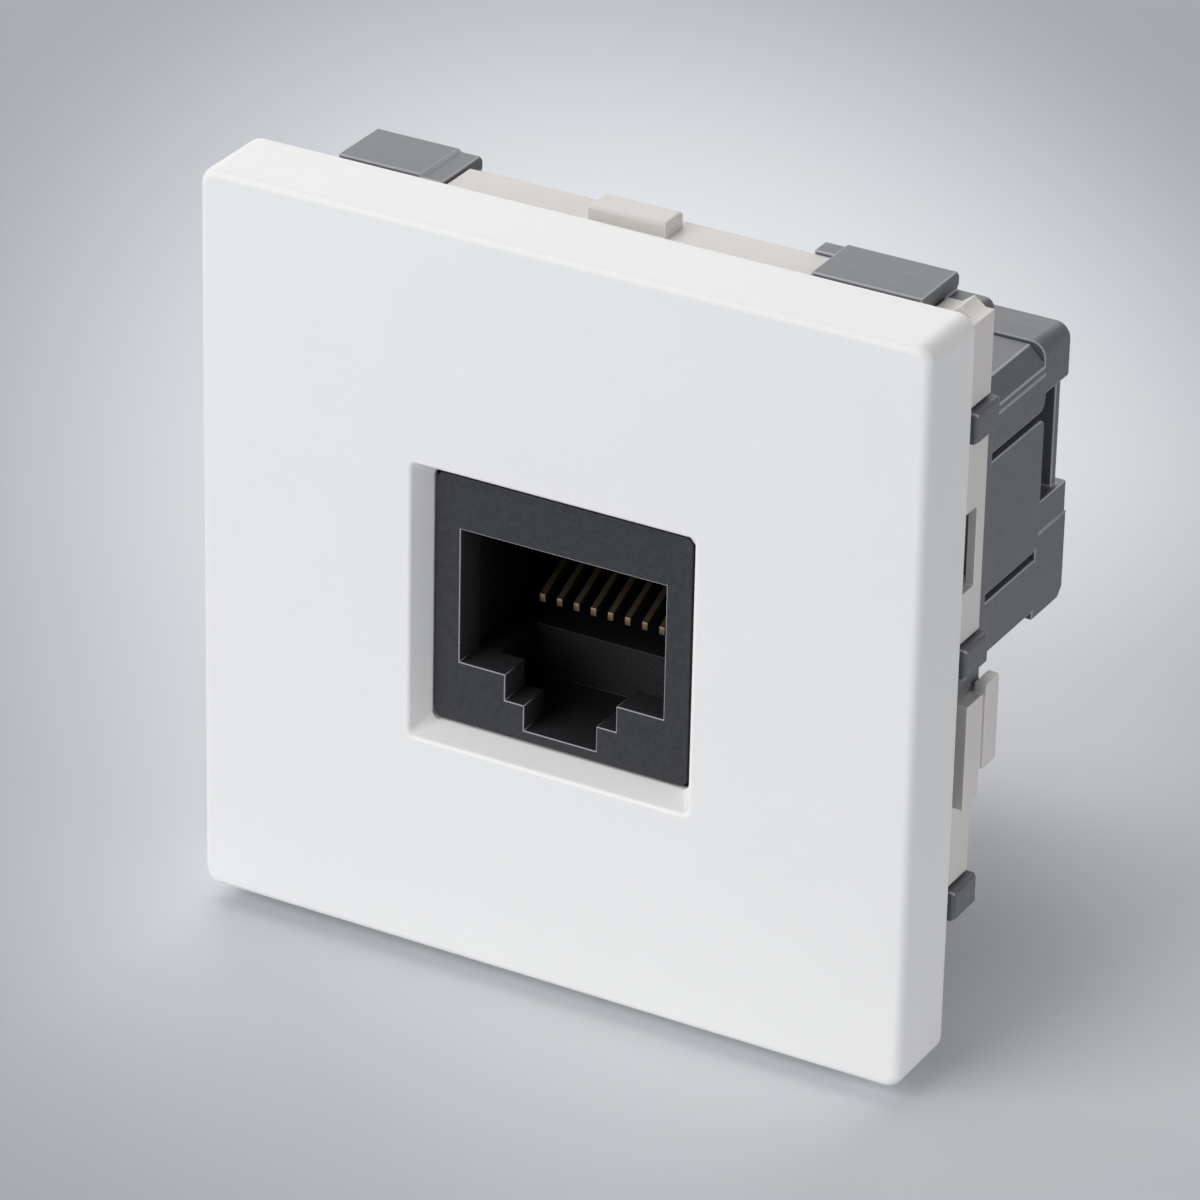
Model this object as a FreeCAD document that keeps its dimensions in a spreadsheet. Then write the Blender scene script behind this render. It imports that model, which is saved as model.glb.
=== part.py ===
import FreeCAD, Part
import os
import re
import Sketcher

# Ethernet wall socket: a white cover plate clipped over a white carrier frame, which a grey
# rear housing grips from behind. A black modular jack with eight spring contacts looks out
# through the plate, and its wires end in a terminal block under a pull-off wire cap.
# Frame: millimetres, +Z up, the front faces -Y. The origin is the centre of the plane in
# which the rim of the cover plate seats on the wall support.

DIMENSIONS = {
    # Cover plate
    "plate_side": 42.0,
    "plate_depth": 4.8,
    "plate_skin": 1.8,
    "plate_skirt": 1.2,
    "plate_corner_radius": 1.0,
    "plate_edge_radius": 0.5,
    "reveal_spread": 0.7,
    "reveal_depth": 1.3,
    "window_gap": 0.15,
    "window_corner_radius": 0.4,
    "leg_width": 3.6,
    "leg_thickness": 0.8,
    "barb_height": 0.7,
    "barb_length": 1.3,
    "leg_offset": 6.3,
    # Carrier frame
    "carrier_gap": 0.1,
    "carrier_rear": 4.8,
    "carrier_wall": 1.6,
    "carrier_web": 1.6,
    "carrier_corner_radius": 0.5,
    "carrier_opening_width": 19.0,
    "carrier_opening_height": 17.0,
    "latch_window_height": 4.5,
    "latch_window_depth": 3.9,
    "latch_window_skin": 0.5,
    "catch_front": 2.4,
    "catch_depth": 1.9,
    "catch_rise": 0.8,
    "top_catch_width": 4.5,
    "clip_top": -1.5,
    "clip_height": 4.9,
    "clip_rise": 0.9,
    "clip_front": 4.1,
    "clip_rear": 5.7,
    "clip_step": 0.6,
    "clip_drop": 1.7,
    "clip_groove": 0.2,
    "clip_lip": 0.7,
    "clip_inner_front": 2.4,
    "clip_window_front": 0.9,
    "clip_window_rise": 0.75,
    "clip_room": 1.6,
    "corner_drop": 0.55,
    "corner_peak": 0.5,
    "corner_peak_width": 1.3,
    "corner_cut": 3.3,
    "corner_cut_front": 2.05,
    "catch_round": 0.2,
    # Rear housing
    "flange_inset": 0.7,
    "flange_side_inset": 0.4,
    "flange_thickness": 1.4,
    "flange_cut": 2.0,
    "fit_gap": 0.15,
    "lug_height": 1.75,
    "lug_front": 0.9,
    "lug_rise": 0.5,
    "lug_face": 2.4,
    "lug_rear": 5.0,
    "lug_round": 0.25,
    "lug_nib": 1.0,
    "upper_lug_height": 13.5,
    "middle_lug_height": 0.2,
    "lower_lug_height": -13.9,
    "tongue_spread": 27.6,
    "tongue_width": 6.2,
    "tongue_thickness": 1.1,
    "tongue_inset": 2.6,
    "tongue_reach": 0.2,
    "tongue_rise": 1.0,
    "tongue_nose": 0.3,
    "ear_width": 1.25,
    "short_ear": 1.5,
    "ear_drop": 0.15,
    "hook_reach": 0.8,
    "hook_drop": 0.9,
    "housing_width": 26.4,
    "housing_top": 7.05,
    "housing_floor": 1.0,
    "housing_wall": 1.3,
    "housing_roof": 1.45,
    "housing_rear": 25.4,
    "housing_chamfer": 1.05,
    "housing_ledge": 0.06,
    "housing_ledge_drop": 1.5,
    "panel_round": 0.6,
    "jack_bay_wall": 1.5,
    "latch_slot": 0.5,
    "latch_length": 6.4,
    "latch_top": 3.2,
    "latch_bottom": -5.2,
    # Jack
    "jack_cheek": 1.45,
    "jack_brow": 3.0,
    "jack_sill": 0.6,
    "jack_corner_radius": 0.45,
    "jack_rear": 13.0,
    "jack_rear_wall": 1.5,
    "port_width": 12.1,
    "port_top": 3.6,
    "port_shelf": -4.1,
    "port_lip": 2.1,
    "port_flare": 0.4,
    "key_width": 6.6,
    "key_floor": -5.6,
    "slot_width": 4.3,
    "slot_floor": -7.05,
    "latch_room_width": 9.6,
    "latch_room_rear": 2.5,
    # Contacts and what carries them
    "contact_pitch": 1.016,
    "contact_width": 0.36,
    "contact_thickness": 0.35,
    "contact_tip": 0.75,
    "contact_tip_height": -1.7,
    "contact_turn": 0.1,
    "contact_groove": 0.46,
    "contact_rear_height": 1.9,
    "contact_tail": 1.0,
    "comb_front": 8.6,
    "comb_width": 10.4,
    "comb_floor": 0.9,
    "board_thickness": 1.2,
    "board_gap": 1.9,
    "board_headroom": 0.8,
    "board_hole": 0.52,
    # Terminal block and wire cap
    "terminal_gap": 0.5,
    "terminal_setback": 3.0,
    "terminal_headroom": 1.0,
    "terminal_margin": 4.5,
    "terminal_slot": 1.3,
    "terminal_slot_depth": 5.2,
    "tail_room": 1.4,
    "blade_thickness": 0.4,
    "blade_width": 2.4,
    "blade_slit": 0.5,
    "blade_standoff": 1.8,
    "blade_root": 1.7,
    "blade_height": 3.0,
    "blade_clearance": 0.05,
    "cap_gap": 0.1,
    "cap_inset": 0.2,
    "cap_depth": 3.1,
    "cap_wall": 0.6,
    "waist_setback": 0.1,
    "foot_reach": 0.6,
    "cap_rise": 0.15,
    "cap_drop": 0.75,
    "cap_jaw": 3.05,
    "cap_foot": 7.0,
    "cap_waist": 0.4,
    "cap_radius": 0.9,
    "cap_bevel": 0.5,
    "foot_ledge": 0.06,
    "foot_band": 1.9,
    "heel_length": 1.6,
    "heel_inset": 1.5,
    "spigot_length": 2.4,
    "spigot_wall": 1.2,
    "cable_bore": 5.6,
}

CONTACTS = 8
PAIRS = 4

doc = FreeCAD.newDocument("ethernet_wall_socket")
sheet = doc.addObject("Spreadsheet::Sheet", "dims")
for row, (alias, value) in enumerate(DIMENSIONS.items(), start=1):
    sheet.set(f"A{row}", alias)
    sheet.set(f"B{row}", str(value))
    sheet.setAlias(f"B{row}", alias)
doc.recompute()

# Places that several pieces share, written in terms of the driving dimensions
FRONT = "(0 - plate_depth)"
SKIN_BACK = "(plate_skin - plate_depth)"
PLATE_HALF = "(plate_side / 2)"
CARRIER_HALF = f"({PLATE_HALF} - plate_skirt - carrier_gap)"
CARRIER_INNER = f"({CARRIER_HALF} - carrier_wall)"
WEB_FRONT = "(carrier_rear - carrier_web)"
LEG_OUTER = f"({CARRIER_INNER} - fit_gap)"
CATCH_REAR = "(catch_front + catch_depth)"
FLANGE_HALF = f"({CARRIER_HALF} - flange_inset)"
FLANGE_SIDE = f"({CARRIER_HALF} - flange_side_inset)"
FLANGE_REAR = "(carrier_rear + flange_thickness)"
TONGUE_FRONT = "(carrier_rear - tongue_inset)"
TONGUE_REAR = f"({FLANGE_REAR} + tongue_reach)"
TONGUE_TOP = f"({FLANGE_HALF} + tongue_rise)"
TONGUE_NEAR = "(tongue_spread / 2 - tongue_width / 2)"
TONGUE_FAR = "(tongue_spread / 2 + tongue_width / 2)"
LOWEST_LUG = "(lower_lug_height - lug_height / 2)"
HOOK_REAR = f"({FLANGE_REAR} + hook_reach)"
JACK_FACE = "(reveal_depth - plate_depth)"
JACK_HALF = "(port_width / 2 + jack_cheek)"
JACK_TOP = "(port_top + jack_brow)"
JACK_BOTTOM = "(slot_floor - jack_sill)"
JACK_MIDDLE = f"(({JACK_TOP} + {JACK_BOTTOM}) / 2)"
HOUSING_HALF = "(housing_width / 2)"
HOUSING_BOTTOM = f"({JACK_BOTTOM} - housing_floor)"
BAY_HALF = f"({HOUSING_HALF} - housing_wall)"
BAY_TOP = "(housing_top - housing_roof)"
JACK_SHOULDER = f"({BAY_TOP} - fit_gap)"
COMB_TOP = "(port_top - fit_gap)"
BOARD_REAR = "(jack_rear + board_thickness)"
BOARD_HALF = f"({BAY_HALF} - board_gap)"
BOARD_TOP = f"({BAY_TOP} - board_headroom)"
TERMINAL_HALF = f"({BAY_HALF} - terminal_gap)"
TERMINAL_TOP = f"({BAY_TOP} - terminal_headroom)"
TERMINAL_REAR = "(housing_rear - terminal_setback)"
TERMINAL_PITCH = f"(({TERMINAL_HALF} - terminal_margin) * 2 / 3)"
TERMINAL_MIDDLE = f"(({JACK_BOTTOM} + {TERMINAL_TOP}) / 2)"
BLADE_FRONT = f"({BOARD_REAR} + blade_standoff)"
CAP_FRONT = "(housing_rear + cap_gap)"
CAP_REAR = f"({CAP_FRONT} + cap_depth)"
WAIST_REAR = f"({CAP_REAR} - waist_setback)"
FOOT_REAR = f"({CAP_REAR} + foot_reach)"
CAP_HALF = f"({HOUSING_HALF} - cap_inset)"
CAP_TOP = "(housing_top + cap_rise)"
CAP_BOTTOM = f"({HOUSING_BOTTOM} - cap_drop)"


def sheet_formula(text):
    """The expression with each dimension's name pointed at its cell."""
    return re.sub(r"[a-z][a-z_]*[a-z]", lambda word: "dims." + word.group(0), text)


def number(text):
    """The expression's value now, in millimetres."""
    return sheet.evalExpression(sheet_formula(text))


def bind(item, name, text):
    item.setExpression(name, sheet_formula(text))


def neg(text):
    return f"(0 - ({text}))"


def rectangle(left, right, low, high):
    return [(left, low), (right, low), (right, high), (left, high)]


def centred(width, low, high):
    return rectangle(f"(0 - {width} / 2)", f"({width} / 2)", low, high)


PLANES = {"X": "YZ_Plane", "Y": "XZ_Plane", "Z": "XY_Plane"}
# The sketch on the plane across Y looks along -Y; the other two look along their axis
PLANE_SIGN = {"X": 1, "Y": -1, "Z": 1}


def new_body(label):
    body = doc.addObject("PartDesign::Body", label)
    body.Label = label
    return body


def draw(body, name, axis, at, outlines):
    """A sketch across an axis, whose corners are all set by the driving dimensions."""
    sketch = body.newObject("Sketcher::SketchObject", name)
    plane = [f for f in body.Origin.OriginFeatures if f.Role == PLANES[axis]][0]
    sketch.AttachmentSupport = [(plane, "")]
    sketch.MapMode = "FlatFace"
    bind(sketch, "AttachmentOffset.Base.z", at if PLANE_SIGN[axis] > 0 else neg(at))
    for outline in outlines:
        corners = [FreeCAD.Vector(number(u), number(v), 0) for u, v in outline]
        count = len(corners)
        first = sketch.GeometryCount
        for i in range(count):
            sketch.addGeometry(Part.LineSegment(corners[i], corners[(i + 1) % count]), False)
        for i in range(count):
            after = first + (i + 1) % count
            sketch.addConstraint(Sketcher.Constraint("Coincident", first + i, 2, after, 1))
        for i, (u, v) in enumerate(outline):
            for kind, text, value in (("DistanceX", u, corners[i].x), ("DistanceY", v, corners[i].y)):
                index = sketch.addConstraint(Sketcher.Constraint(kind, -1, 1, first + i, 1, value))
                bind(sketch, f"Constraints[{index}]", text)
    return sketch


def extrude(kind, body, name, axis, start, stop, outlines):
    """A pad or a pocket from start to stop along an axis."""
    feature = body.newObject(f"PartDesign::{kind}", name)
    feature.Profile = draw(body, name + "_outline", axis, start, outlines)
    forward = PLANE_SIGN[axis] > 0 if kind == "Pad" else PLANE_SIGN[axis] < 0
    feature.Reversed = not forward
    bind(feature, "Length", f"({stop}) - ({start})")
    body.Tip = feature
    doc.recompute()
    return feature


def pad(body, name, axis, start, stop, *outlines):
    return extrude("Pad", body, name, axis, start, stop, outlines)


def pocket(body, name, axis, start, stop, *outlines):
    return extrude("Pocket", body, name, axis, start, stop, outlines)


def dress(kind, body, name, size_name, size, choose):
    """Fillet or chamfer the edges that choose picks from the body so far."""
    base = body.Tip
    names = [f"Edge{i}" for i, edge in enumerate(base.Shape.Edges, start=1) if choose(edge)]
    feature = body.newObject(f"PartDesign::{kind}", name)
    feature.Base = (base, names)
    bind(feature, size_name, size)
    body.Tip = feature
    doc.recompute()
    return feature


def fillet(body, name, radius, choose):
    return dress("Fillet", body, name, "Radius", radius, choose)


def chamfer(body, name, size, choose):
    return dress("Chamfer", body, name, "Size", size, choose)


def is_along(edge, axis):
    if len(edge.Vertexes) != 2:
        return False
    span = edge.Vertexes[1].Point - edge.Vertexes[0].Point
    return abs(getattr(span, axis.lower())) > 0.999 * span.Length


def at_value(edge, axis, text, slack=0.01):
    """True where the whole edge lies at one value of an axis."""
    box = edge.BoundBox
    low = getattr(box, axis + "Min")
    high = getattr(box, axis + "Max")
    return abs(low - number(text)) < slack and abs(high - number(text)) < slack


def mirrored(body, name, features, role):
    """The features repeated on the other side of an origin plane."""
    plane = [f for f in body.Origin.OriginFeatures if f.Role == role][0]
    feature = body.newObject("PartDesign::Mirrored", name)
    feature.Originals = features
    feature.MirrorPlane = (plane, [""])
    body.Tip = feature
    doc.recompute()
    return feature


# Cover plate: a shallow moulded lid with soft front edges and a sloping reveal round the jack
def make_cover_plate():
    body = new_body("cover_plate")
    half = PLATE_HALF
    square = rectangle(neg(half), half, neg(half), half)
    pad(body, "plate_block", "Y", FRONT, "0", square)
    fillet(body, "plate_corners", "plate_corner_radius", lambda e: is_along(e, "Y"))
    fillet(body, "plate_front_edge", "plate_edge_radius", lambda e: at_value(e, "Y", FRONT))
    inner = f"({half} - plate_skirt)"
    pocket(body, "plate_hollow", "Y", SKIN_BACK, "0", rectangle(neg(inner), inner, neg(inner), inner))
    window_half = f"({JACK_HALF} + window_gap)"
    window_low = f"({JACK_BOTTOM} - window_gap)"
    window_high = f"({JACK_TOP} + window_gap)"
    window = rectangle(neg(window_half), window_half, window_low, window_high)
    reveal_half = f"({window_half} + reveal_spread)"
    reveal_low = f"({window_low} - reveal_spread)"
    reveal_high = f"({window_high} + reveal_spread)"
    reveal_outline = rectangle(neg(reveal_half), reveal_half, reveal_low, reveal_high)
    reveal = body.newObject("PartDesign::SubtractiveLoft", "reveal")
    reveal.Profile = draw(body, "reveal_mouth", "Y", FRONT, [reveal_outline])
    reveal.Sections = [draw(body, "reveal_throat", "Y", JACK_FACE, [window])]
    reveal.Ruled = True
    body.Tip = reveal
    doc.recompute()
    pocket(body, "window", "Y", JACK_FACE, SKIN_BACK, window)
    fillet(body, "window_corners", "window_corner_radius",
           lambda e: is_corner(e, window_half, window_low, window_high))
    side_legs(body)
    bottom_legs(body)
    return body


def is_corner(edge, half, low, high):
    """True for an edge of the reveal or the window that runs back from the front in a corner."""
    reach = number("reveal_spread") + 0.05
    if len(edge.Vertexes) != 2 or edge.BoundBox.YLength < 0.2:
        return False
    for point in (v.Point for v in edge.Vertexes):
        near_side = abs(abs(point.x) - number(half)) < reach
        near_end = min(abs(point.z - number(low)), abs(point.z - number(high))) < reach
        if not (near_side and near_end):
            return False
    return True


def leg_profile(outer, sign):
    """A snap leg in section: a straight spring with a barb that points outwards."""
    inner_face = f"({outer} - leg_thickness)"
    end = "(carrier_web / 4 + barb_length)"
    barb_start = "(carrier_web / 4)"
    tip = f"({outer} + barb_height)"
    across = [(SKIN_BACK, inner_face), (SKIN_BACK, outer), (barb_start, outer), (barb_start, tip)]
    across += [(end, outer), (end, inner_face)]
    return [(u, v if sign > 0 else neg(v)) for u, v in across]


def side_legs(body):
    low = "(leg_offset - leg_width / 2)"
    high = "(leg_offset + leg_width / 2)"
    profile = [(v, u) for u, v in leg_profile(LEG_OUTER, 1)]
    leg = pad(body, "side_leg", "Z", low, high, profile)
    mirrored(body, "side_leg_pair", [leg], "YZ_Plane")


def bottom_legs(body):
    low = "(leg_offset - leg_width / 2)"
    high = "(leg_offset + leg_width / 2)"
    leg = pad(body, "bottom_leg", "X", low, high, leg_profile(LEG_OUTER, -1))
    mirrored(body, "bottom_leg_pair", [leg], "YZ_Plane")


LUG_HEIGHTS = ("upper_lug_height", "middle_lug_height", "lower_lug_height")


# Carrier frame: an open tray with snap windows, lug notches and the catches that hold the wall support
def make_carrier_frame():
    body = new_body("carrier_frame")
    half = CARRIER_HALF
    inner = CARRIER_INNER
    pad(body, "carrier_block", "Y", SKIN_BACK, "carrier_rear", rectangle(neg(half), half, neg(half), half))
    fillet(body, "carrier_corners", "carrier_corner_radius", lambda e: is_along(e, "Y"))
    pocket(body, "carrier_tray", "Y", SKIN_BACK, WEB_FRONT, rectangle(neg(inner), inner, neg(inner), inner))
    opening_low = f"({JACK_MIDDLE} - carrier_opening_height / 2)"
    opening_high = f"({JACK_MIDDLE} + carrier_opening_height / 2)"
    opening = centred("carrier_opening_width", opening_low, opening_high)
    pocket(body, "carrier_opening", "Y", WEB_FRONT, "carrier_rear", opening)
    carrier_catches(body)
    carrier_clips(body)
    carrier_windows(body)
    carrier_notches(body)
    carrier_corners(body)
    return body


def carrier_catches(body):
    """Square-faced blocks at the middle of the top and bottom, which snap behind the wall support."""
    top = f"({CARRIER_HALF} + catch_rise)"
    block = rectangle("catch_front", CATCH_REAR, CARRIER_INNER, top)
    half = "(top_catch_width / 2)"
    pad(body, "top_catch", "X", neg(half), half, block)
    pad(body, "bottom_catch", "X", neg(half), half, [(u, neg(v)) for u, v in block])
    fillet(body, "catch_edges", "catch_round", lambda e: at_value(e, "Z", top) or at_value(e, "Z", neg(top)))


def carrier_clips(body):
    """A side clip in an opening of the wall: a block on the web, then a plate with a thin upper lip."""
    low = "(clip_top - clip_height)"
    inner_low = f"({low} - clip_drop)"
    inner_high = "(clip_top - clip_step)"
    out = f"({CARRIER_HALF} + clip_rise)"
    window_top = "(clip_top + clip_window_rise)"
    opening = rectangle("clip_window_front", "carrier_rear", inner_low, window_top)
    right = pocket(body, "clip_opening", "X", CARRIER_INNER, out, opening)
    room = pocket(body, "clip_room", "X", f"({CARRIER_INNER} - clip_room)", CARRIER_INNER,
                  rectangle("clip_window_front", "carrier_rear", inner_high, window_top))
    mirrored(body, "clip_openings", [right, room], "YZ_Plane")
    root = f"({CARRIER_INNER} - fit_gap)"
    front = pad(body, "clip_block", "Y", "clip_inner_front", "clip_front",
                rectangle(root, f"({out} - clip_groove)", inner_low, inner_high))
    lip = f"({out} - clip_lip)"
    plate = [(root, low), (out, low), (out, "clip_top"), (lip, "clip_top")]
    plate += [(lip, inner_high), (root, inner_high)]
    rear = pad(body, "clip_plate", "Y", "clip_front", "clip_rear", plate)
    mirrored(body, "clip_pair", [front, rear], "YZ_Plane")

    def at_rear_edge(edge):
        outer = at_value(edge, "X", out) or at_value(edge, "X", neg(out))
        return outer and at_value(edge, "Y", "clip_rear")

    fillet(body, "clip_edges", "catch_round", at_rear_edge)


def carrier_corners(body):
    """A lowered right upper corner with a peak, and two corners cut away, so it goes in one way only."""
    inner = f"(0 - {CARRIER_HALF} + corner_cut)"
    floor = f"({CARRIER_HALF} - corner_drop)"
    upper = rectangle(neg(CARRIER_HALF), inner, CARRIER_INNER, CARRIER_HALF)
    lower = rectangle(CARRIER_INNER, CARRIER_HALF, neg(CARRIER_HALF), f"({LOWEST_LUG} - fit_gap)")
    lowered = rectangle(f"({TONGUE_FAR} + fit_gap)", CARRIER_HALF, floor, CARRIER_HALF)
    pocket(body, "corner_cuts", "Y", "corner_cut_front", "carrier_rear", upper, lower, lowered)
    left = f"({CARRIER_HALF} - corner_peak_width - carrier_corner_radius)"
    right = f"({CARRIER_HALF} - carrier_corner_radius)"
    middle = f"(({left} + {right}) / 2)"
    peak = [(left, CARRIER_INNER), (right, CARRIER_INNER), (right, floor)]
    peak += [(middle, f"({floor} + corner_peak)"), (left, floor)]
    pad(body, "corner_peak", "Y", WEB_FRONT, "carrier_rear", peak)


def carrier_windows(body):
    low = "(leg_offset - latch_window_height / 2)"
    high = "(leg_offset + latch_window_height / 2)"
    out = f"({CARRIER_HALF} + catch_rise)"
    window = rectangle("fit_gap", "latch_window_depth", low, high)
    right = pocket(body, "right_window", "X", CARRIER_INNER, out, window)
    behind = rectangle("latch_window_depth", "carrier_rear", low, high)
    skin = f"({CARRIER_HALF} - latch_window_skin)"
    undercut = pocket(body, "window_undercut", "X", CARRIER_INNER, skin, behind)
    mirrored(body, "side_windows", [right, undercut], "YZ_Plane")
    slot = rectangle(low, high, "fit_gap", "latch_window_depth")
    below = pocket(body, "bottom_window", "Z", neg(out), neg(CARRIER_INNER), slot)
    mirrored(body, "bottom_windows", [below], "YZ_Plane")


def carrier_notches(body):
    room = "(lug_height / 2 + fit_gap)"
    out = f"({CARRIER_HALF} + catch_rise)"
    reach = f"({CARRIER_INNER} - lug_nib - fit_gap)"
    front = "(lug_front - fit_gap)"
    notches = [rectangle(front, "carrier_rear", f"({z} - {room})", f"({z} + {room})") for z in LUG_HEIGHTS]
    right = pocket(body, "right_notches", "X", reach, out, *notches)
    mirrored(body, "side_notches", [right], "YZ_Plane")
    far = f"({TONGUE_FAR} + fit_gap)"
    floor = f"({TONGUE_TOP} - tongue_thickness - ear_drop - fit_gap)"
    start = f"({TONGUE_FRONT} - fit_gap)"
    slot = rectangle(f"({TONGUE_NEAR} - fit_gap)", far, start, "carrier_rear")
    top = pocket(body, "top_notch", "Z", floor, out, slot)
    mirrored(body, "top_notches", [top], "YZ_Plane")


# Rear housing: the grey moulding with its flange, gripping lugs, spring tongues and jack bay
def make_rear_housing():
    body = new_body("rear_housing")
    half = FLANGE_HALF
    pad(body, "flange", "Y", "carrier_rear", FLANGE_REAR, rectangle(neg(half), half, neg(half), half))
    fillet(body, "flange_corners", "carrier_corner_radius", lambda e: is_along(e, "Y"))
    flange_reliefs(body)
    ledge = "(housing_top - housing_ledge_drop)"
    inset = f"({HOUSING_HALF} - housing_ledge)"
    shoulder = f"({inset} - housing_chamfer)"
    shell = [
        (neg(HOUSING_HALF), HOUSING_BOTTOM),
        (HOUSING_HALF, HOUSING_BOTTOM),
        (HOUSING_HALF, ledge),
        (inset, ledge),
        (inset, "(housing_top - housing_chamfer)"),
        (shoulder, "housing_top"),
        (neg(shoulder), "housing_top"),
        (neg(inset), "(housing_top - housing_chamfer)"),
        (neg(inset), ledge),
        (neg(HOUSING_HALF), ledge),
    ]
    pad(body, "housing_shell", "Y", "carrier_rear", "housing_rear", shell)
    bay = rectangle(neg(BAY_HALF), BAY_HALF, JACK_BOTTOM, BAY_TOP)
    pocket(body, "terminal_bay", "Y", "jack_rear", "housing_rear", bay)
    jack_half = f"({JACK_HALF} + fit_gap)"
    pocket(body, "jack_bay", "Y", "carrier_rear", "jack_rear",
           rectangle(neg(jack_half), jack_half, JACK_BOTTOM, BAY_TOP))
    side_room = rectangle(f"({jack_half} + jack_bay_wall)", BAY_HALF, JACK_BOTTOM, BAY_TOP)
    room = pocket(body, "side_room", "Y", "carrier_rear", "(jack_rear - jack_bay_wall)", side_room)
    mirrored(body, "side_rooms", [room], "YZ_Plane")
    latch_slots(body)
    lugs(body)
    tongues(body)
    hooks(body)
    return body


def flange_reliefs(body):
    """Room for the side clips, and the two corners that the carrier lacks as well."""
    edge = f"({FLANGE_HALF} + fit_gap)"
    root = f"({CARRIER_INNER} - fit_gap * 2)"
    low = "(clip_top - clip_height - fit_gap)"
    high = "(clip_top + fit_gap)"
    right = rectangle(root, edge, low, high)
    left = rectangle(neg(edge), neg(root), low, high)
    cut = f"({FLANGE_HALF} - flange_cut)"
    upper = rectangle(neg(edge), neg(TONGUE_FAR), cut, edge)
    lower = rectangle(cut, edge, neg(edge), LOWEST_LUG)
    pocket(body, "flange_reliefs", "Y", "carrier_rear", FLANGE_REAR, right, left, upper, lower)


def latch_slots(body):
    """Two slots in each side wall leave a spring panel that grips the wire cap."""
    out = f"({HOUSING_HALF} + fit_gap)"
    slots = []
    for height in ("latch_top", "latch_bottom"):
        low = f"({height} - latch_slot / 2)"
        high = f"({height} + latch_slot / 2)"
        slots.append(rectangle("(housing_rear - latch_length)", "housing_rear", low, high))
    right = pocket(body, "right_slots", "X", BAY_HALF, out, *slots)
    mirrored(body, "side_slots", [right], "YZ_Plane")
    ends = [f"(latch_top {sign} latch_slot / 2)" for sign in "-+"]
    ends += [f"(latch_bottom {sign} latch_slot / 2)" for sign in "-+"]

    def at_panel_corner(edge):
        at_end = is_along(edge, "X") and at_value(edge, "Y", "housing_rear")
        return at_end and any(at_value(edge, "Z", height) for height in ends)

    fillet(body, "panel_corners", "panel_round", at_panel_corner)


def lugs(body):
    """Side lugs reach forward through the carrier's notches and grip its web with a nib.

    The middle one has a skirt that closes the opening above the carrier's clip, and a rib joins it
    to the upper one along the flange.
    """
    outer = f"({CARRIER_HALF} + lug_rise)"
    inner = CARRIER_INNER
    nib = f"({CARRIER_INNER} - lug_nib)"
    nib_rear = f"({WEB_FRONT} - fit_gap / 3)"
    section = [("lug_front", nib), ("lug_front", CARRIER_HALF), ("lug_face", CARRIER_HALF)]
    section += [("lug_face", outer), ("lug_rear", outer), ("lug_rear", FLANGE_HALF)]
    section += [(FLANGE_REAR, FLANGE_HALF), (FLANGE_REAR, inner), (nib_rear, inner), (nib_rear, nib)]
    profile = [(v, u) for u, v in section]
    made = []
    for height in LUG_HEIGHTS:
        low = f"({height} - lug_height / 2)"
        made.append(pad(body, height.replace("_height", ""), "Z", low, f"({low} + lug_height)", profile))
    skirt = [(inner, "lug_face"), (CARRIER_HALF, "lug_face"), (CARRIER_HALF, "lug_rear")]
    skirt += [(FLANGE_HALF, FLANGE_REAR), (inner, FLANGE_REAR)]
    made.append(pad(body, "lug_skirt", "Z", "(clip_top - clip_step + fit_gap)",
                    "(middle_lug_height - lug_height / 2)", skirt))
    made.append(pad(body, "lug_rib", "Z", "middle_lug_height", "upper_lug_height",
                    rectangle(inner, FLANGE_SIDE, "carrier_rear", FLANGE_REAR)))
    mirrored(body, "left_lugs", made, "YZ_Plane")
    fillet(body, "lug_edges", "lug_round", lambda e: at_value(e, "X", outer) or at_value(e, "X", neg(outer)))


def tongues(body):
    """Flat sprung tongues with a rounded rear nose: the left one stepped down along its inner edge,
    the right one with a short ear beside it.
    """
    whole = tongue_profile(TONGUE_FRONT, TONGUE_TOP)
    lowered = f"({TONGUE_TOP} - ear_drop)"
    step = f"({TONGUE_NEAR} + ear_width)"
    ear = f"({TONGUE_NEAR} - ear_width)"
    pad(body, "right_tongue", "X", TONGUE_NEAR, TONGUE_FAR, whole)
    pad(body, "left_tongue", "X", neg(TONGUE_FAR), neg(step), whole)
    pad(body, "long_ear", "X", neg(step), neg(TONGUE_NEAR), tongue_profile(TONGUE_FRONT, lowered))
    pad(body, "short_ear", "X", ear, TONGUE_NEAR, tongue_profile(f"({TONGUE_REAR} - short_ear)", lowered))


def tongue_profile(front, top):
    low = f"({top} - tongue_thickness)"
    rear = TONGUE_REAR
    nose = f"({rear} - tongue_nose)"
    tip = [(nose, low), (rear, f"({low} + tongue_nose)"), (rear, f"({top} - tongue_nose)"), (nose, top)]
    return [(front, low)] + tip + [(front, top)]


def hooks(body):
    """Rigid hooks along the lower edge, which enter the wall support first."""
    top = f"({FLANGE_HALF} - hook_drop)"
    low = f"({FLANGE_HALF} + hook_drop)"
    profile = [
        ("carrier_rear", neg(top)),
        ("carrier_rear", neg(FLANGE_HALF)),
        (FLANGE_REAR, neg(low)),
        (HOOK_REAR, neg(low)),
        (HOOK_REAR, neg(top)),
    ]
    hook = pad(body, "hook", "X", TONGUE_NEAR, TONGUE_FAR, profile)
    mirrored(body, "hook_pair", [hook], "YZ_Plane")


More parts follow.
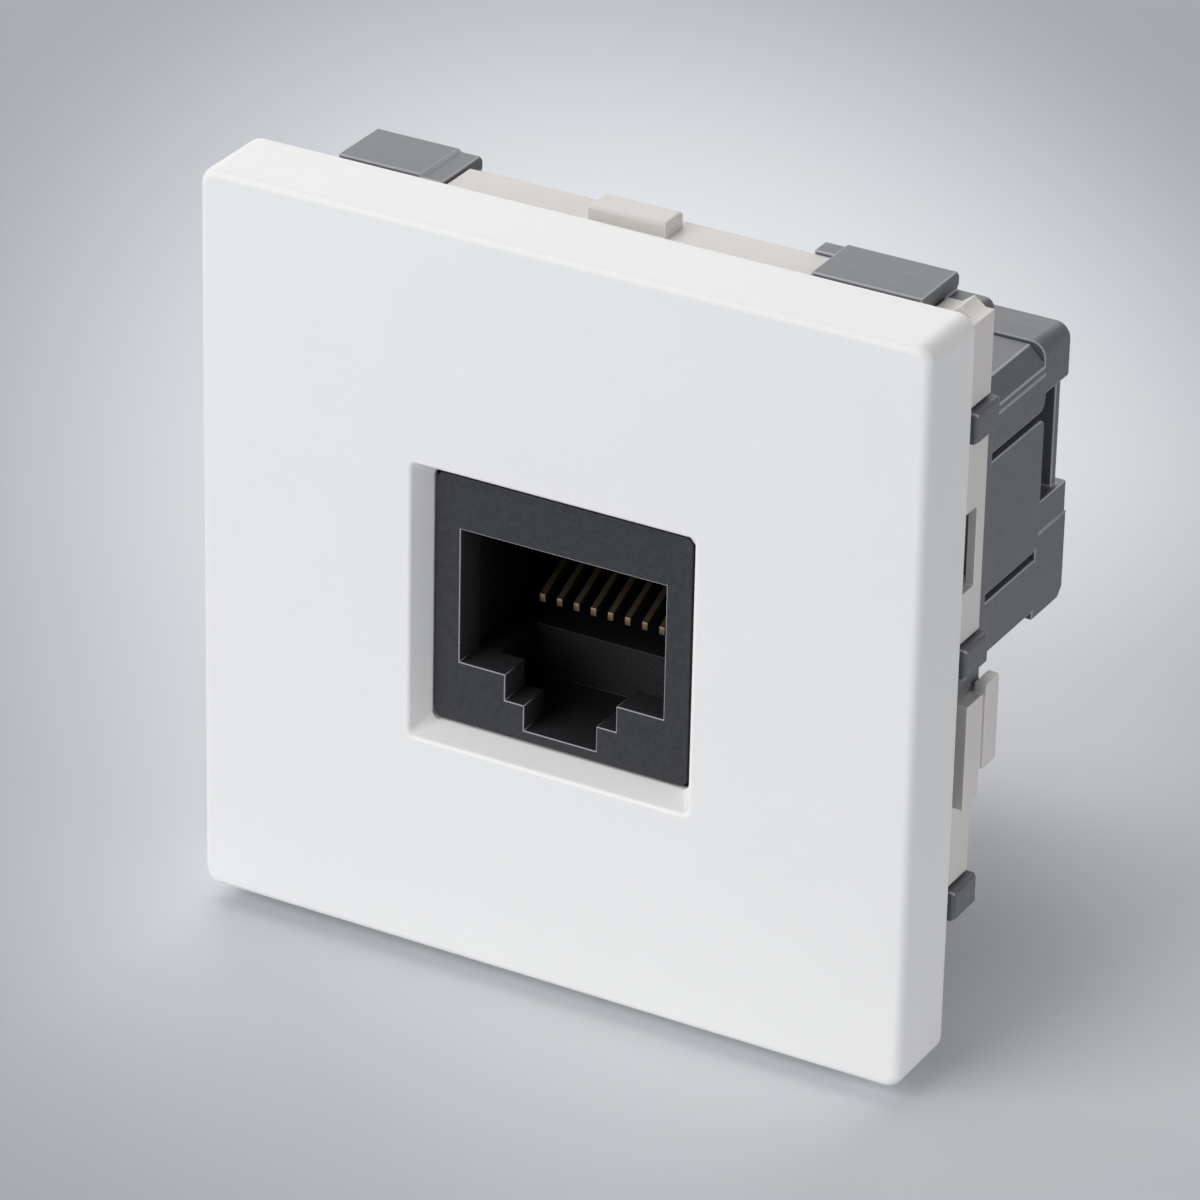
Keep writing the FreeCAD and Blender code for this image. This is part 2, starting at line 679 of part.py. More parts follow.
# Jack shell: the black moulding with the stepped plug port
def make_jack_shell():
    body = new_body("jack_shell")
    half = JACK_HALF
    pad(body, "jack_bezel", "Y", JACK_FACE, "carrier_rear",
        rectangle(neg(half), half, JACK_BOTTOM, JACK_TOP))
    fillet(body, "bezel_corners", "jack_corner_radius", lambda e: is_along(e, "Y"))
    pad(body, "jack_tail", "Y", "carrier_rear", "jack_rear",
        rectangle(neg(half), half, JACK_BOTTOM, JACK_SHOULDER))
    lip_rear = f"({JACK_FACE} + port_lip)"
    port = "(port_width / 2)"
    key = "(key_width / 2)"
    slot = "(slot_width / 2)"
    right_side = [(slot, "slot_floor"), (slot, "key_floor"), (key, "key_floor"), (key, "port_shelf")]
    right_side += [(port, "port_shelf"), (port, "port_top")]
    left_side = [(neg(u), v) for u, v in reversed(right_side)]
    pocket(body, "port_mouth", "Y", JACK_FACE, lip_rear, right_side + left_side)
    wide = "(port_width + port_flare * 2)"
    pocket(body, "port_room", "Y", lip_rear, "(jack_rear - jack_rear_wall)",
           centred(wide, "port_shelf", "port_top"))
    pocket(body, "latch_room", "Y", lip_rear, "latch_room_rear",
           centred("latch_room_width", "slot_floor", "port_shelf"))
    comb_room = centred("(comb_width + fit_gap * 2)", "(comb_floor - fit_gap)", "port_top")
    pocket(body, "comb_room", "Y", "(jack_rear - jack_rear_wall)", "jack_rear", comb_room)
    return body


def contact_place(index):
    return f"({index - (CONTACTS - 1) / 2} * contact_pitch)"


# Contact comb: the block that holds the eight contacts apart
def make_contact_comb():
    body = new_body("contact_comb")
    pad(body, "comb_block", "Y", "comb_front", "jack_rear", centred("comb_width", "comb_floor", COMB_TOP))
    grooves = []
    for index in range(CONTACTS):
        left = f"({contact_place(index)} - contact_groove / 2)"
        right = f"({contact_place(index)} + contact_groove / 2)"
        grooves.append(rectangle(left, right, "contact_rear_height", COMB_TOP))
    pocket(body, "comb_grooves", "Y", "comb_front", "jack_rear", *grooves)
    return body


# Spring contact: a flat gilt wire that slopes down and forward into the port, with a turned tip
def make_contact(index):
    body = new_body(f"contact_{index + 1}")
    tail_end = f"({BOARD_REAR} + contact_tail)"
    low_front = ("(contact_tip + contact_thickness)", "contact_tip_height")
    profile = [
        ("contact_tip", "(contact_tip_height - contact_turn)"),
        ("(contact_tip + contact_thickness)", "(contact_tip_height - contact_turn)"),
        low_front,
        ("comb_front", "contact_rear_height"),
        (tail_end, "contact_rear_height"),
        (tail_end, "(contact_rear_height + contact_thickness)"),
        ("comb_front", "(contact_rear_height + contact_thickness)"),
        ("contact_tip", "(contact_tip_height + contact_thickness)"),
    ]
    left = f"({contact_place(index)} - contact_width / 2)"
    right = f"({contact_place(index)} + contact_width / 2)"
    pad(body, "contact_strip", "X", left, right, profile)
    return body


# Circuit board: joins the contacts to the terminals behind it
def make_circuit_board():
    body = new_body("circuit_board")
    pad(body, "board", "Y", "jack_rear", BOARD_REAR,
        rectangle(neg(BOARD_HALF), BOARD_HALF, JACK_BOTTOM, BOARD_TOP))
    holes = []
    for index in range(CONTACTS):
        left = f"({contact_place(index)} - board_hole / 2)"
        right = f"({contact_place(index)} + board_hole / 2)"
        low = "(contact_rear_height - board_hole / 4)"
        holes.append(rectangle(left, right, low, "(contact_rear_height + board_hole)"))
    pocket(body, "contact_holes", "Y", "jack_rear", BOARD_REAR, *holes)
    return body


def terminal_place(column):
    return f"({column - (PAIRS - 1) / 2} * {TERMINAL_PITCH})"


def blade_middle(row):
    """The height of the upper or the lower row of terminals."""
    room = f"(({TERMINAL_TOP} - {JACK_BOTTOM}) / 4)"
    return f"({TERMINAL_MIDDLE} {'+' if row else '-'} {room})"


# Terminal block: two rows of four slots, open to the rear, for the eight conductors
def make_terminal_block():
    body = new_body("terminal_block")
    pad(body, "terminal_body", "Y", BOARD_REAR, TERMINAL_REAR,
        rectangle(neg(TERMINAL_HALF), TERMINAL_HALF, JACK_BOTTOM, TERMINAL_TOP))
    tail_low = "(contact_rear_height - tail_room / 2)"
    tail_high = "(contact_rear_height + tail_room)"
    pocket(body, "tail_relief", "Y", BOARD_REAR, f"({BOARD_REAR} + tail_room)",
           centred("comb_width", tail_low, tail_high))
    slots = []
    pockets = []
    for row in (0, 1):
        for column in range(PAIRS):
            middle = terminal_place(column)
            reach = "(blade_height / 2 + terminal_slot)"
            low = f"({blade_middle(row)} - {reach})"
            high = f"({blade_middle(row)} + {reach})"
            slots.append(rectangle(f"({middle} - terminal_slot / 2)",
                                   f"({middle} + terminal_slot / 2)", low, high))
            side = "(blade_width / 2 + blade_clearance)"
            depth = "(blade_thickness / 2 + blade_clearance)"
            pockets.append(rectangle(f"({middle} - {side})", f"({middle} + {side})",
                                     f"({blade_middle(row)} - {depth})", f"({blade_middle(row)} + {depth})"))
    pocket(body, "wire_slots", "Y", f"({TERMINAL_REAR} - terminal_slot_depth)", TERMINAL_REAR, *slots)
    pocket(body, "blade_pockets", "Y", BLADE_FRONT, TERMINAL_REAR, *pockets)
    return body


# Terminal blade: a forked metal strip whose slit cuts through a conductor's sleeve
def make_blade(row, column):
    body = new_body(f"terminal_blade_{row * PAIRS + column + 1}")
    middle = terminal_place(column)
    left = f"({middle} - blade_width / 2)"
    right = f"({middle} + blade_width / 2)"
    slit_left = f"({middle} - blade_slit / 2)"
    slit_right = f"({middle} + blade_slit / 2)"
    mouth = f"({TERMINAL_REAR} - blade_slit)"
    top = f"({mouth} - blade_slit)"
    slit_end = f"({BLADE_FRONT} + blade_root)"
    profile = [
        (left, BLADE_FRONT),
        (right, BLADE_FRONT),
        (right, top),
        (f"({middle} + blade_width / 4)", mouth),
        (slit_right, top),
        (slit_right, slit_end),
        (slit_left, slit_end),
        (slit_left, top),
        (f"({middle} - blade_width / 4)", mouth),
        (left, top),
    ]
    low = f"({blade_middle(row)} - blade_thickness / 2)"
    high = f"({blade_middle(row)} + blade_thickness / 2)"
    pad(body, "blade_strip", "Z", low, high, profile)
    return body


# Wire cap: closes the back of the housing, with two jaws, open sides and a round cable entry
def make_wire_cap():
    body = new_body("wire_cap")
    jaw_low = f"({CAP_TOP} - cap_jaw)"
    foot_top = f"({CAP_BOTTOM} + cap_foot)"
    waist = f"({CAP_HALF} - cap_waist)"
    rear_wall = f"({WAIST_REAR} - cap_wall)"
    pad(body, "cap_waist_block", "Y", CAP_FRONT, WAIST_REAR,
        rectangle(neg(waist), waist, CAP_BOTTOM, CAP_TOP))
    pad(body, "cap_jaw_block", "Y", CAP_FRONT, CAP_REAR,
        rectangle(neg(CAP_HALF), CAP_HALF, jaw_low, CAP_TOP))

    def at_top_corner(edge):
        beyond_waist = edge.BoundBox.XMax ** 2 > number(waist) ** 2
        return is_along(edge, "Y") and at_value(edge, "Z", CAP_TOP) and beyond_waist

    fillet(body, "cap_top_corners", "cap_radius", at_top_corner)
    cap_foot(body, foot_top)
    inside = f"({BAY_HALF} - fit_gap - spigot_wall)"
    hollow = rectangle(neg(inside), inside, f"({JACK_BOTTOM} + fit_gap + spigot_wall)",
                       f"({BAY_TOP} - fit_gap - spigot_wall)")
    pocket(body, "cap_hollow", "Y", CAP_FRONT, rear_wall, hollow)
    window = rectangle(CAP_FRONT, rear_wall, foot_top, jaw_low)
    right_window = pocket(body, "right_cap_window", "X", inside, f"({CAP_HALF} + cap_gap)", window)
    mirrored(body, "cap_windows", [right_window], "YZ_Plane")
    outside = f"({inside} + spigot_wall)"
    spigot_front = "(housing_rear - spigot_length)"
    for name, low, high in (
        ("upper_spigot", f"({BAY_TOP} - fit_gap - spigot_wall)", f"({BAY_TOP} - fit_gap)"),
        ("lower_spigot", f"({JACK_BOTTOM} + fit_gap)", f"({JACK_BOTTOM} + fit_gap + spigot_wall)"),
    ):
        pad(body, name, "Y", spigot_front, CAP_FRONT, rectangle(neg(outside), outside, low, high))
    cable_entry(body, rear_wall, f"(({jaw_low} + {foot_top}) / 2)")
    return body


def cap_foot(body, foot_top):
    """The deep lower block, with a ledge round its upper band and a heel that reaches under the housing."""
    band = f"({foot_top} - foot_band)"
    upper = f"({CAP_HALF} - foot_ledge)"
    pad(body, "foot_upper_band", "Y", CAP_FRONT, f"({FOOT_REAR} - foot_ledge)",
        rectangle(neg(upper), upper, band, foot_top))
    pad(body, "foot_block", "Y", CAP_FRONT, FOOT_REAR, rectangle(neg(CAP_HALF), CAP_HALF, CAP_BOTTOM, band))
    chamfer(body, "cap_low_bevel", "cap_bevel",
            lambda e: at_value(e, "Z", CAP_BOTTOM) and at_value(e, "Y", FOOT_REAR))
    heel = f"({CAP_HALF} - heel_inset)"
    pad(body, "heel", "Y", f"({CAP_FRONT} - heel_length)", CAP_FRONT,
        rectangle(neg(heel), heel, CAP_BOTTOM, f"({HOUSING_BOTTOM} - cap_gap)"))


def cable_entry(body, rear_wall, height):
    """A round hole through the rear wall, halfway between the jaw and the foot."""
    sketch = body.newObject("Sketcher::SketchObject", "cable_circle")
    plane = [f for f in body.Origin.OriginFeatures if f.Role == PLANES["Y"]][0]
    sketch.AttachmentSupport = [(plane, "")]
    sketch.MapMode = "FlatFace"
    bind(sketch, "AttachmentOffset.Base.z", neg(rear_wall))
    centre = FreeCAD.Vector(0, number(height), 0)
    sketch.addGeometry(Part.Circle(centre, FreeCAD.Vector(0, 0, 1), number("cable_bore") / 2), False)
    sketch.addConstraint(Sketcher.Constraint("PointOnObject", 0, 3, -2))
    place = sketch.addConstraint(Sketcher.Constraint("DistanceY", -1, 1, 0, 3, centre.y))
    bind(sketch, f"Constraints[{place}]", height)
    width = sketch.addConstraint(Sketcher.Constraint("Diameter", 0, number("cable_bore")))
    bind(sketch, f"Constraints[{width}]", "cable_bore")
    entry = body.newObject("PartDesign::Pocket", "cable_entry")
    entry.Profile = sketch
    bind(entry, "Length", "cap_wall")
    body.Tip = entry
    doc.recompute()


pieces = [
    make_cover_plate(),
    make_carrier_frame(),
    make_rear_housing(),
    make_jack_shell(),
    make_contact_comb(),
    make_circuit_board(),
    make_terminal_block(),
    make_wire_cap(),
]
pieces += [make_contact(index) for index in range(CONTACTS)]
pieces += [make_blade(row, column) for row in (0, 1) for column in range(PAIRS)]
doc.recompute()

for item in doc.Objects:
    if "Invalid" in item.State or "Error" in item.State:
        raise RuntimeError(f"{item.Label} did not rebuild: {item.State}")
for piece in pieces:
    shape = piece.Shape
    if shape.isNull() or not shape.isValid() or len(shape.Solids) != 1:
        raise RuntimeError(f"{piece.Label} is not one sound solid: {len(shape.Solids)} solids")

os.makedirs("parts", exist_ok=True)
for piece in pieces:
    piece.Shape.exportStep(os.path.join("parts", piece.Label + ".step"))
    box = piece.Shape.BoundBox
    print(f"{piece.Label}: {piece.Shape.Volume:.2f} mm3, x {box.XMin:.2f} to {box.XMax:.2f}, "
          f"y {box.YMin:.2f} to {box.YMax:.2f}, z {box.ZMin:.2f} to {box.ZMax:.2f}")
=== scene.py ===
# %% [markdown]
# This lesson dresses a data socket for a wall: a white plate, an off-white carrier, a grey
# housing behind it and a black jack in the middle. The solids come from a CAD model, already
# in place and in metres, so nothing has to be fitted. The lesson sets up the photographer's
# camera and light, softens the edges as a mould does, and gives every piece its material.

from math import pi, radians

import bmesh
import bpy
from mathutils import Matrix, Vector


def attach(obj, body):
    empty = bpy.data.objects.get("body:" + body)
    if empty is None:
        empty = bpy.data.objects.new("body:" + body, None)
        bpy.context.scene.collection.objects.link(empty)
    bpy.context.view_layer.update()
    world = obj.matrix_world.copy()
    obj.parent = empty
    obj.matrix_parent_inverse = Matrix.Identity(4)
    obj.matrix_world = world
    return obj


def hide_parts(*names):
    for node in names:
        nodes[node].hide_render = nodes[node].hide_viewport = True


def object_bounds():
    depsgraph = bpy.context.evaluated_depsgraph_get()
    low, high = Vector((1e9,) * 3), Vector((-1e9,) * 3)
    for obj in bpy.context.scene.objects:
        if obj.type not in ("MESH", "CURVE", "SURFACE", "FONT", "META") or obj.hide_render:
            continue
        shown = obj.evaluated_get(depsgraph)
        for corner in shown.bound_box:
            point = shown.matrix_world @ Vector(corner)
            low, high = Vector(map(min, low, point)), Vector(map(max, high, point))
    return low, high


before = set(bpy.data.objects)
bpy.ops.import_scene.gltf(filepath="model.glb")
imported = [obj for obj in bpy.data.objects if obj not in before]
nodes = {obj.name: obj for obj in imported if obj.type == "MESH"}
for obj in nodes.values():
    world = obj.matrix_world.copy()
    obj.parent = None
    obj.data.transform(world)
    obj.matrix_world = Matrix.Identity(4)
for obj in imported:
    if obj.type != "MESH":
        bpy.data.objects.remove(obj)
cad_box = [list(corner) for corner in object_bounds()]
MM = 0.001
scene = bpy.context.scene
print("nodes:", ", ".join(sorted(nodes)))

# %% [markdown]
# The plate stands on its lower edge, and the picture looks down on it from the right. A long
# lens from a third of a metre keeps its sides almost parallel. The camera could be aimed with a
# constraint, but three turns say plainly what a tripod head does: swing, tilt and a little lean.

# %% Camera
CAMERA_PLACE = Vector((153.98, -278.88, 164.75)) * MM
CAMERA_SWING = radians(28.86)
CAMERA_TILT = radians(27.40)
CAMERA_LEAN = radians(1.23)
LENS_MM = 208.4
SENSOR_MM = 36
NEAREST_SEEN = 10 * MM

camera_data = bpy.data.cameras.new("product_camera")
camera_data.sensor_width = SENSOR_MM
camera_data.lens = LENS_MM
camera_data.clip_start = NEAREST_SEEN
camera = bpy.data.objects.new("product_camera", camera_data)
scene.collection.objects.link(camera)
swing = Matrix.Rotation(CAMERA_SWING, 4, "Z")
tilt = Matrix.Rotation(radians(90) - CAMERA_TILT, 4, "X")
lean = Matrix.Rotation(CAMERA_LEAN, 4, "Z")
camera.matrix_world = Matrix.Translation(CAMERA_PLACE) @ swing @ tilt @ lean
scene.camera = camera
scene.view_settings.view_transform = "Standard"
print(f"camera {CAMERA_PLACE.length / MM:.0f} mm away, lens {LENS_MM} mm")

# %% [markdown]
# Colours are written the way a paint program shows them, as sRGB hex values, but shaders work
# in linear light. One function turns the one into the other. A second one adds a node with its
# settings and its links, so that each material below reads as a list of its steps. A Mix node
# keeps hidden sockets for every kind of data, all with the same names, so the ones that it uses
# for colours are called by their numbers.

# %% Colour and node helpers
MIX_FACTOR, MIX_A, MIX_B = 0, 6, 7
MIX_RESULT = 2


def colour(hex_value):
    channels = [int(hex_value[i:i + 2], 16) / 255 for i in (1, 3, 5)]
    linear = [c / 12.92 if c <= 0.04045 else ((c + 0.055) / 1.055) ** 2.4 for c in channels]
    return (*linear, 1.0)


def add_node(material, kind, settings=None, values=None, links=None):
    node = material.node_tree.nodes.new(kind)
    for name, value in (settings or {}).items():
        setattr(node, name, value)
    for name, value in (values or {}).items():
        node.inputs[name].default_value = value
    for name, source in (links or {}).items():
        material.node_tree.links.new(source, node.inputs[name])
    return node


def new_material(name):
    material = bpy.data.materials.new(name)
    material.use_nodes = True
    material.node_tree.nodes.clear()
    return material


print("mid grey in linear light:", [round(c, 3) for c in colour("#808080")[:3]])

# %% [markdown]
# The studio is one seamless sheet of cool grey paper, matt, so that it shows only soft tones. An
# oval pool of light is painted into the paper round the object, and the painted tone falls off to
# darker corners. A narrow lamp could make the pool, but it would shade the object as well, so the
# pool is painted light in the paper's colour. A Mapping node in Texture mode moves, turns and
# stretches the pool, and the length of the result is a distance from its middle. The sheet lies a
# little under the plate's edge, so that the start of the plate's soft shadow shows.

# %% Paper floor
FLOOR_GAP = 0.9 * MM
FLOOR_HEIGHT = cad_box[0][2] - FLOOR_GAP
FLOOR_REACH = 3.0
POOL_MIDDLE = Vector((-17 * MM, 44 * MM, FLOOR_HEIGHT))
POOL_SIZE = Vector((56 * MM, 117 * MM, 1.0))
POOL_TURN = radians(35)
PAINTED_POOL_TONES = ((0.3, "#EFF1F5"), (1.0, "#ABAEB6"))

# The paper's colour carries a painted pool of light: pale round the object, painted darker towards
# the corners.
paper = new_material("grey_paper_painted_light_pool")
place = add_node(paper, "ShaderNodeTexCoord")
pool = add_node(paper, "ShaderNodeMapping", {"vector_type": "TEXTURE"},
                {"Location": POOL_MIDDLE, "Rotation": (0, 0, POOL_TURN), "Scale": POOL_SIZE},
                {"Vector": place.outputs["Object"]})
distance = add_node(paper, "ShaderNodeVectorMath", {"operation": "LENGTH"},
                    links={0: pool.outputs["Vector"]})
tone = add_node(paper, "ShaderNodeValToRGB", links={"Fac": distance.outputs["Value"]})
tone.color_ramp.interpolation = "EASE"
for stop, (position, shade) in zip(tone.color_ramp.elements, PAINTED_POOL_TONES):
    stop.position = position
    stop.color = colour(shade)
paper_shader = add_node(paper, "ShaderNodeBsdfPrincipled",
                        values={"Roughness": 0.9, "Specular IOR Level": 0.2},
                        links={"Base Color": tone.outputs["Color"]})
add_node(paper, "ShaderNodeOutputMaterial", links={"Surface": paper_shader.outputs["BSDF"]})

bm = bmesh.new()
bmesh.ops.create_grid(bm, x_segments=1, y_segments=1, size=FLOOR_REACH,
                      matrix=Matrix.Translation((0, 0, FLOOR_HEIGHT)))
floor_mesh = bpy.data.meshes.new("paper_floor")
bm.to_mesh(floor_mesh)
bm.free()
floor = bpy.data.objects.new("paper_floor", floor_mesh)
scene.collection.objects.link(floor)
floor.data.materials.append(paper)
print(f"floor at {FLOOR_HEIGHT / MM:.1f} mm")

# %% [markdown]
# Four large soft boxes do the work. One stands in front, to the left, and lights the plate's face.
# One hangs overhead, also to the left, lights everything that looks up and leaves the shadow on
# the right. One stands low behind, and its reflection is the sheen on the grey tops. The last is
# a card on the right that opens the plate's edge and the grey sides. A dim even sky fills the
# rest: a brighter one would flatten the hollows behind the plate. Each box is given by the light
# that it would throw from its middle on a sheet facing it, as a share of full white. Its power
# follows from its distance.

# %% Light
SKY_STRENGTH = 0.12
SKY_COLOUR = "#FDFDFF"
BOX_SIDE_MM = 640
SOFT_BOXES = {
    "front_left_box": (Vector((-345, -592, 278)), 0.89),
    "overhead_box": (Vector((-340, 190, 620)), 0.40),
    "back_box": (Vector((-300, 620, 330)), 0.42),
    "right_card": (Vector((780, -60, 70)), 0.58),
}

for name, (place_mm, share) in SOFT_BOXES.items():
    lamp_data = bpy.data.lights.new(name, "AREA")
    lamp_data.shape = "SQUARE"
    lamp_data.size = BOX_SIDE_MM * MM
    lamp_data.energy = share * pi ** 2 * (place_mm.length * MM) ** 2
    lamp = bpy.data.objects.new(name, lamp_data)
    scene.collection.objects.link(lamp)
    lamp.location = place_mm * MM
    lamp.rotation_euler = (-place_mm).to_track_quat("-Z", "Y").to_euler()
    print(f"{name}: {lamp_data.energy:.1f} W at {place_mm.length:.0f} mm")

world = bpy.data.worlds.new("studio_sky")
scene.world = world
world.use_nodes = True
sky = world.node_tree.nodes["Background"]
sky.inputs["Color"].default_value = colour(SKY_COLOUR)
sky.inputs["Strength"].default_value = SKY_STRENGTH

# %% [markdown]
# A moulded edge is never quite sharp: it is rounded by a tenth of a millimetre or so, and that
# small round catches the light as a pale line. A CAD node's mesh is loose triangles and stays
# as it is, so each piece that shows is a copy: its doubles are merged, its flat faces joined,
# and a bevel runs along every sharp edge. The bevel's faces are marked in a face attribute, so
# that a material can paint a pale highlight line on them, on the whole piece or only in one place.
# Normals weighted by area keep the flat faces flat and leave the turn to the small ones. The copy
# then stands for the node.

# %% Edge softening
FLAT = radians(1)
SHARP = radians(40)
WELD = 0.002 * MM


def soften(name, width_mm, segments=2, crowded=None, highlight_at=None):
    bm = bmesh.new()
    bm.from_mesh(nodes[name].data)
    bmesh.ops.remove_doubles(bm, verts=bm.verts, dist=WELD)
    bmesh.ops.dissolve_limit(bm, angle_limit=FLAT, verts=bm.verts, edges=bm.edges)
    if crowded:
        bmesh.ops.dissolve_verts(bm, verts=[v for v in bm.verts if crowded(v.co / MM)])
    # The bevel's faces are marked so that a material can paint a highlight line on them.
    highlight_faces = bm.faces.layers.float.new("painted_highlight_edge")
    sharp = [e for e in bm.edges if len(e.link_faces) == 2 and e.calc_face_angle() > SHARP]
    made = bmesh.ops.bevel(bm, geom=sharp, offset=width_mm * MM, offset_type="OFFSET",
                           segments=segments, profile=0.5, affect="EDGES",
                           clamp_overlap=False, material=-1)
    for face in made["faces"]:
        face[highlight_faces] = float(not highlight_at or highlight_at(face.calc_center_median() / MM))
    mesh = bpy.data.meshes.new("moulded_" + name)
    bm.to_mesh(mesh)
    bm.free()
    mesh.shade_smooth()
    mesh.set_sharp_from_angle(angle=SHARP)
    piece = bpy.data.objects.new("moulded_" + name, mesh)
    scene.collection.objects.link(piece)
    piece.modifiers.new("flat_faces_stay_flat", "WEIGHTED_NORMAL").keep_sharp = True
    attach(piece, "wire_cap" if name == "wire_cap" else "socket")
    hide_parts(name)
    print(f"{piece.name}: {len(sharp)} sharp edges, {len(mesh.polygons)} faces")
    return piece


def paint(piece, material):
    piece.data.materials.clear()
    piece.data.materials.append(material)


print(f"edges over {SHARP / pi * 180:.0f} degrees will be softened")

# %% [markdown]
# All the plastics here are injection moulded and share one build-up: a base colour that drifts
# a little, a pale painted highlight on the edges, and a fine grain from the eroded mould steel.
# What differs is the colour, the gloss and the size of drift and grain. A grain of a few
# hundredths of a millimetre is too fine to show at this distance, so it is drawn at some tenths.
# A piece with a hollow also gets painted shade that changes with the depth, along Y: it turns to
# a deeper colour inwards, and the painted edge highlight fades out there.

# %% Moulded plastic
PLASTIC_IOR = 1.5
ROUGHNESS_SWING = 0.06


def moulded_plastic(name, base, drift, edge, edge_share, roughness, gloss, grain_mm,
                    grain_depth_mm, drift_mm=7, painted_depth_shade=None, painted_shade_ends_mm=None, highlight_ends_mm=None):
    material = new_material(name)
    place = add_node(material, "ShaderNodeTexCoord")
    cloud = add_node(material, "ShaderNodeTexNoise",
                     values={"Scale": 1 / (drift_mm * MM), "Detail": 3},
                     links={"Vector": place.outputs["Object"]})
    bulk = add_node(material, "ShaderNodeMix", {"data_type": "RGBA"},
                    {MIX_A: colour(drift), MIX_B: colour(base)},
                    {MIX_FACTOR: cloud.outputs["Fac"]})
    # Painted highlight: the bevel faces are mixed towards the pale edge colour, standing in for
    # light caught on the rounded edges.
    highlight_faces = add_node(material, "ShaderNodeAttribute", {"attribute_name": "painted_highlight_edge"})
    painted_highlight = add_node(material, "ShaderNodeMath", {"operation": "MULTIPLY"}, {1: edge_share},
                    {0: highlight_faces.outputs["Fac"]})
    # Painted shade: the colour turns darker with depth into the hollow, and the painted edge
    # highlight fades out inwards.
    if painted_depth_shade:
        depth = add_node(material, "ShaderNodeSeparateXYZ",
                         links={"Vector": place.outputs["Object"]})
        inwards = add_node(material, "ShaderNodeMapRange",
                           values={"From Min": painted_shade_ends_mm[0] * MM,
                                   "From Max": painted_shade_ends_mm[1] * MM},
                           links={"Value": depth.outputs["Y"]})
        bulk = add_node(material, "ShaderNodeMix", {"data_type": "RGBA"}, {MIX_B: colour(painted_depth_shade)},
                        {MIX_FACTOR: inwards.outputs["Result"], MIX_A: bulk.outputs[MIX_RESULT]})
        reach = add_node(material, "ShaderNodeMapRange",
                         values={"From Min": highlight_ends_mm[0] * MM, "From Max": highlight_ends_mm[1] * MM,
                                 "To Min": 1.0, "To Max": 0.0},
                         links={"Value": depth.outputs["Y"]})
        painted_highlight = add_node(material, "ShaderNodeMath", {"operation": "MULTIPLY"},
                        links={0: painted_highlight.outputs["Value"], 1: reach.outputs["Result"]})
    shade = add_node(material, "ShaderNodeMix", {"data_type": "RGBA"}, {MIX_B: colour(edge)},
                     {MIX_FACTOR: painted_highlight.outputs["Value"], MIX_A: bulk.outputs[MIX_RESULT]})

    grain = add_node(material, "ShaderNodeTexNoise",
                     values={"Scale": 1 / (grain_mm * MM), "Detail": 4},
                     links={"Vector": place.outputs["Object"]})
    rough = add_node(material, "ShaderNodeMapRange",
                     values={"To Min": roughness - ROUGHNESS_SWING,
                             "To Max": roughness + ROUGHNESS_SWING},
                     links={"Value": grain.outputs["Fac"]})
    bump = add_node(material, "ShaderNodeBump", values={"Distance": grain_depth_mm * MM},
                    links={"Height": grain.outputs["Fac"]})
    shader = add_node(material, "ShaderNodeBsdfPrincipled",
                      values={"IOR": PLASTIC_IOR, "Specular IOR Level": gloss},
                      links={"Base Color": shade.outputs[MIX_RESULT],
                             "Roughness": rough.outputs["Result"],
                             "Normal": bump.outputs["Normal"]})
    add_node(material, "ShaderNodeOutputMaterial", links={"Surface": shader.outputs["BSDF"]})
    print(f"{name}: base {base}, grain {grain_mm} mm")
    return material


print(f"plastics: IOR {PLASTIC_IOR}, roughness within {ROUGHNESS_SWING} of its middle")

# %% [markdown]
# The plate is white polycarbonate with a satin skin: smooth, bright, with only a hint of grain.
# The rounded corners of its reveal come as a crowd of small triangles that would leave the bevel
# no room, so the points inside each corner are dissolved first and the corner is one face.

# %% White plate
PLATE_EDGE_MM = 0.16
PLATE_EDGE_SEGMENTS = 3
CORNER_BESIDE_MM = (7.3, 8.6)
CORNER_BELOW_MM = (-8.7, -7.4)
CORNER_ABOVE_MM = (6.35, 7.6)
REVEAL_INSIDE_MM = (-4.79, -3.7)


def between(ends, value):
    return ends[0] < value < ends[1]


def in_reveal_corner(point_mm):
    beside = between(CORNER_BESIDE_MM, abs(point_mm.x))
    below_or_above = between(CORNER_BELOW_MM, point_mm.z) or between(CORNER_ABOVE_MM, point_mm.z)
    return beside and below_or_above and between(REVEAL_INSIDE_MM, point_mm.y)


white_satin = moulded_plastic("white_satin_polycarbonate", base="#F1F1F0", drift="#EEEEED",
                              edge="#F8F8F7", edge_share=0.6, roughness=0.42, gloss=0.32,
                              grain_mm=0.5, grain_depth_mm=0.003)
plate = soften("cover_plate", PLATE_EDGE_MM, PLATE_EDGE_SEGMENTS, in_reveal_corner)
paint(plate, white_satin)

# %% [markdown]
# The carrier behind it is plain ABS, a little warmer and greyer than the plate, because it is a
# working part that nobody sees once it is on the wall.

# %% Carrier
CARRIER_EDGE_MM = 0.06

off_white = moulded_plastic("off_white_moulded_abs", base="#E0DDD9", drift="#D6D2CE",
                            edge="#F0EEEB", edge_share=0.7, roughness=0.5, gloss=0.35,
                            grain_mm=0.4, grain_depth_mm=0.005)
paint(soften("carrier_frame", CARRIER_EDGE_MM), off_white)

# %% [markdown]
# The housing and its cap are mid-grey nylon with short glass fibres in it. The fibres come near
# the skin and make it slightly mottled and dull, so its drift is as short as the fibres, while
# the edges get a pale painted highlight.

# %% Housing
HOUSING_EDGE_MM = 0.08

grey_nylon = moulded_plastic("grey_glass_filled_nylon", base="#76787C", drift="#65676B",
                             edge="#BBBDC1", edge_share=0.8, roughness=0.48, gloss=0.42,
                             grain_mm=0.25, grain_depth_mm=0.008, drift_mm=0.5)
paint(soften("rear_housing", HOUSING_EDGE_MM), grey_nylon)
paint(soften("wire_cap", HOUSING_EDGE_MM), grey_nylon)

